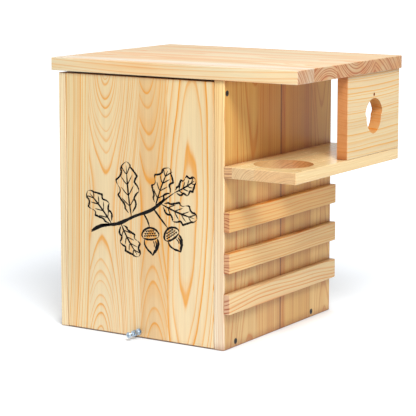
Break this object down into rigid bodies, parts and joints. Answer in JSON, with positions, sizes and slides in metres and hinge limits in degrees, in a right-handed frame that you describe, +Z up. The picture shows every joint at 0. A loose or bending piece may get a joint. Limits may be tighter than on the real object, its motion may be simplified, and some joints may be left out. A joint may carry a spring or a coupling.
{
  "type": "squirrel house",
  "caption": "Pine squirrel house with a top-hung front door, a lock screw, ladder slats and a roofed side feeder with an acorn window.",
  "frame": {"origin": "on the ground, under the middle of the whole object's box, the lock screw's head included", "axes": "+Z up, +X from the house toward the feeder, -Y out of the front door"},
  "size_m": [0.435, 0.348, 0.419],
  "materials": {
    "pine_roof": "bare planed pine, matt",
    "pine_walls": "bare planed pine, matt",
    "pine_inside": "bare planed pine, matt",
    "pine_door": "bare planed pine, matt",
    "pine_tray": "bare planed pine, matt",
    "pine_end_panel": "bare planed pine, matt",
    "pine_slats": "bare planed pine, matt",
    "beech_dowel": "turned beech, matt",
    "black_steel": "black oxide",
    "zinc_plate": "bright zinc plate"
  },
  "bodies": {
    "house": {"roof": "pine_roof", "right_wall": "pine_walls", "left_wall": "pine_walls", "back_board": "pine_inside", "floor_board": "pine_inside", "feeder_tray": "pine_tray", "feeder_end_panel": "pine_end_panel", "slat_top": "pine_slats", "slat_middle": "pine_slats", "slat_bottom": "pine_slats", "pivot_screw_right": "black_steel", "pivot_screw_left": "black_steel", "floor_screws": "black_steel", "back_screws": "black_steel", "tray_screws": "black_steel", "end_panel_screws": "black_steel", "slat_screws": "black_steel", "roof_dowels": "beech_dowel", "back_dowels": "beech_dowel"},
    "door": {"front_door": "pine_door", "lock_insert": "zinc_plate"},
    "lock_carrier": {"lock_washer": "zinc_plate"},
    "lock_bolt": {"lock_screw": "zinc_plate", "lock_nut": "zinc_plate"}
  },
  "joints": [
    {"name": "door_swing", "type": "hinge", "parent": "house", "child": "door", "pos_m": [-0.0585, -0.1375, 0.3795], "axis": [-1, 0, 0], "range_deg": [0, 124]},
    {"name": "lock_travel", "type": "slide", "parent": "door", "child": "lock_carrier", "axis": [0, 1, 0], "range_m": [-0.008, 0.0088]},
    {"name": "lock_turn", "type": "hinge", "parent": "lock_carrier", "child": "lock_bolt", "pos_m": [-0.0585, -0.146, 0.009], "axis": [0, 1, 0], "range_deg": [-3601, 3961]}
  ],
  "couplings": [
    {"joint": "lock_turn", "follows": "lock_travel", "rad_per_m": 7854}
  ]
}
